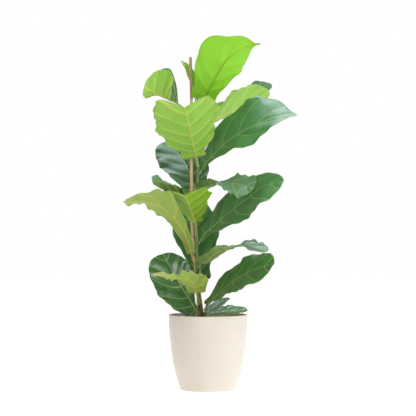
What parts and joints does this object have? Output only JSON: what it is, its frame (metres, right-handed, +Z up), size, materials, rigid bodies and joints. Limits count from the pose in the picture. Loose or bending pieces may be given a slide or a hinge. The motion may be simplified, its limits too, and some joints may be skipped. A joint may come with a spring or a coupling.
{
  "type": "potted fiddle leaf fig",
  "caption": "Young single-stem fiddle leaf fig with broad waisted leaves spiralling up a slim stem beside a wooden stake, in a round tapered cream tub",
  "frame": {"origin": "middle of the pot's flat underside", "axes": "+Z up along the plant, +X to the right and +Y to the back as the plant is seen from its front"},
  "size_m": [0.4684, 0.3979, 0.9821],
  "materials": {
    "pot": "satin cream moulded plastic",
    "soil": "dark peat-based potting mix",
    "bark": "green-brown young bark",
    "stake": "plain pale wood",
    "scale": "dried red-brown bud scale",
    "leaf_young": "soft lime green new leaf",
    "leaf_half_grown": "light green leaf, satin",
    "leaf_mature": "dark green leathery leaf, glossy above"
  },
  "bodies": {
    "root": {"pot": "pot", "potting_soil": "soil", "stem": "bark", "support_stake": "stake", "terminal_bud": "scale", "bud_scale_1": "scale", "bud_scale_2": "scale", "bud_scale_3": "scale", "bud_scale_4": "scale", "bud_scale_5": "scale", "bud_scale_6": "scale", "bud_scale_7": "scale", "bud_scale_8": "scale", "bud_scale_9": "scale", "leaf_top_lime": "leaf_young", "leaf_new_narrow": "leaf_young", "leaf_upper_front": "leaf_half_grown", "leaf_upper_left": "leaf_half_grown", "leaf_left_arching": "leaf_half_grown", "leaf_low_front": "leaf_half_grown", "leaf_upper_right": "leaf_mature", "leaf_right_broad": "leaf_mature", "leaf_back_right": "leaf_mature", "leaf_back_left_upper": "leaf_mature", "leaf_left_folded": "leaf_mature", "leaf_centre_front": "leaf_mature", "leaf_right_twisted": "leaf_mature", "leaf_right_long": "leaf_mature", "leaf_back_tall": "leaf_mature", "leaf_right_arching": "leaf_mature", "leaf_low_right": "leaf_mature", "leaf_low_back": "leaf_mature", "leaf_over_rim": "leaf_mature", "leaf_low_left": "leaf_mature"}
  },
  "joints": []
}
